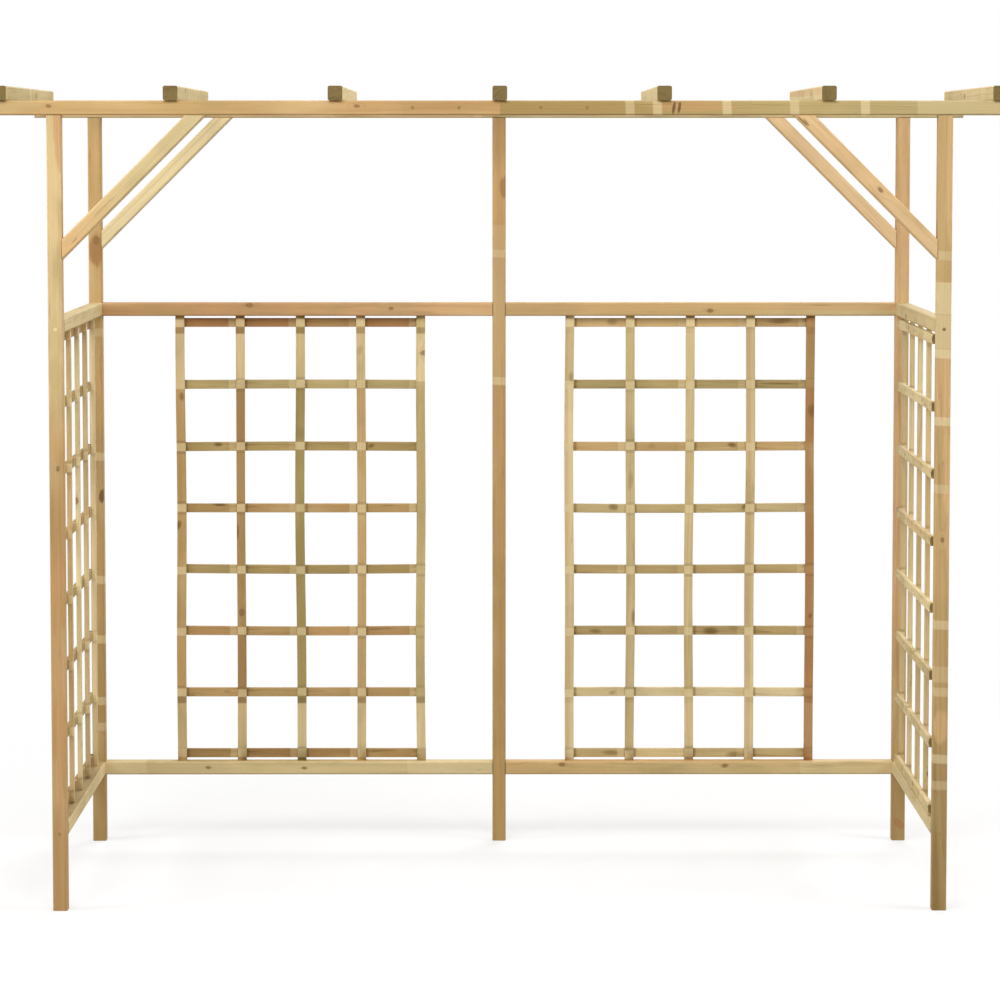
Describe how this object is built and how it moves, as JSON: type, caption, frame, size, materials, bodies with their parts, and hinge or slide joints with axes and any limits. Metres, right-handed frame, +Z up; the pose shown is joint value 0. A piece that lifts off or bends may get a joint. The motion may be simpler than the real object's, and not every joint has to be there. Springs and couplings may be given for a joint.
{
  "type": "pergola",
  "caption": "Open-front timber garden pergola: square posts, beams in halves, open rafters, knee braces, and trellis panels between rails on the rear and both sides.",
  "frame": {"origin": "on the ground, in the middle of the plan's bounding box", "axes": "+X along the beams to the viewer's right, +Y from the open front to the rear, +Z up"},
  "size_m": [2.5, 0.86, 2.04],
  "materials": {
    "frame_timber": "planed, pressure-impregnated softwood, matt",
    "trellis_batten": "sawn and eased softwood battens, pressure-impregnated, matt",
    "zinc_steel": "yellow-passivated zinc, dull"
  },
  "bodies": {
    "root": {"post_front_left": "frame_timber", "post_front_right": "frame_timber", "post_rear_left": "frame_timber", "post_rear_centre": "frame_timber", "post_rear_right": "frame_timber", "beam_front_left": "frame_timber", "beam_front_right": "frame_timber", "beam_rear_left": "frame_timber", "beam_rear_right": "frame_timber", "splice_block": "frame_timber", "rafter_1": "frame_timber", "rafter_2": "frame_timber", "rafter_3": "frame_timber", "rafter_4": "frame_timber", "rafter_5": "frame_timber", "rafter_6": "frame_timber", "rafter_7": "frame_timber", "brace_front_left": "frame_timber", "brace_front_right": "frame_timber", "brace_rear_left": "frame_timber", "brace_rear_right": "frame_timber", "rail_rear_top_left": "frame_timber", "rail_rear_top_right": "frame_timber", "rail_rear_bottom_left": "frame_timber", "rail_rear_bottom_right": "frame_timber", "rail_side_top_left": "frame_timber", "rail_side_top_right": "frame_timber", "rail_side_bottom_left": "frame_timber", "rail_side_bottom_right": "frame_timber", "uprights_rear_left": "trellis_batten", "uprights_rear_right": "trellis_batten", "uprights_side_left": "trellis_batten", "uprights_side_right": "trellis_batten", "slats_rear_left": "trellis_batten", "slats_rear_right": "trellis_batten", "slats_side_left": "trellis_batten", "slats_side_right": "trellis_batten", "nails_rear_left": "zinc_steel", "nails_rear_right": "zinc_steel", "nails_side_left": "zinc_steel", "nails_side_right": "zinc_steel", "rafter_screws": "zinc_steel", "beam_screws": "zinc_steel", "brace_screws": "zinc_steel", "splice_screws": "zinc_steel", "side_rail_screws": "zinc_steel", "rear_rail_screws": "zinc_steel", "centre_post_screws": "zinc_steel", "trellis_screws": "zinc_steel"}
  },
  "joints": []
}
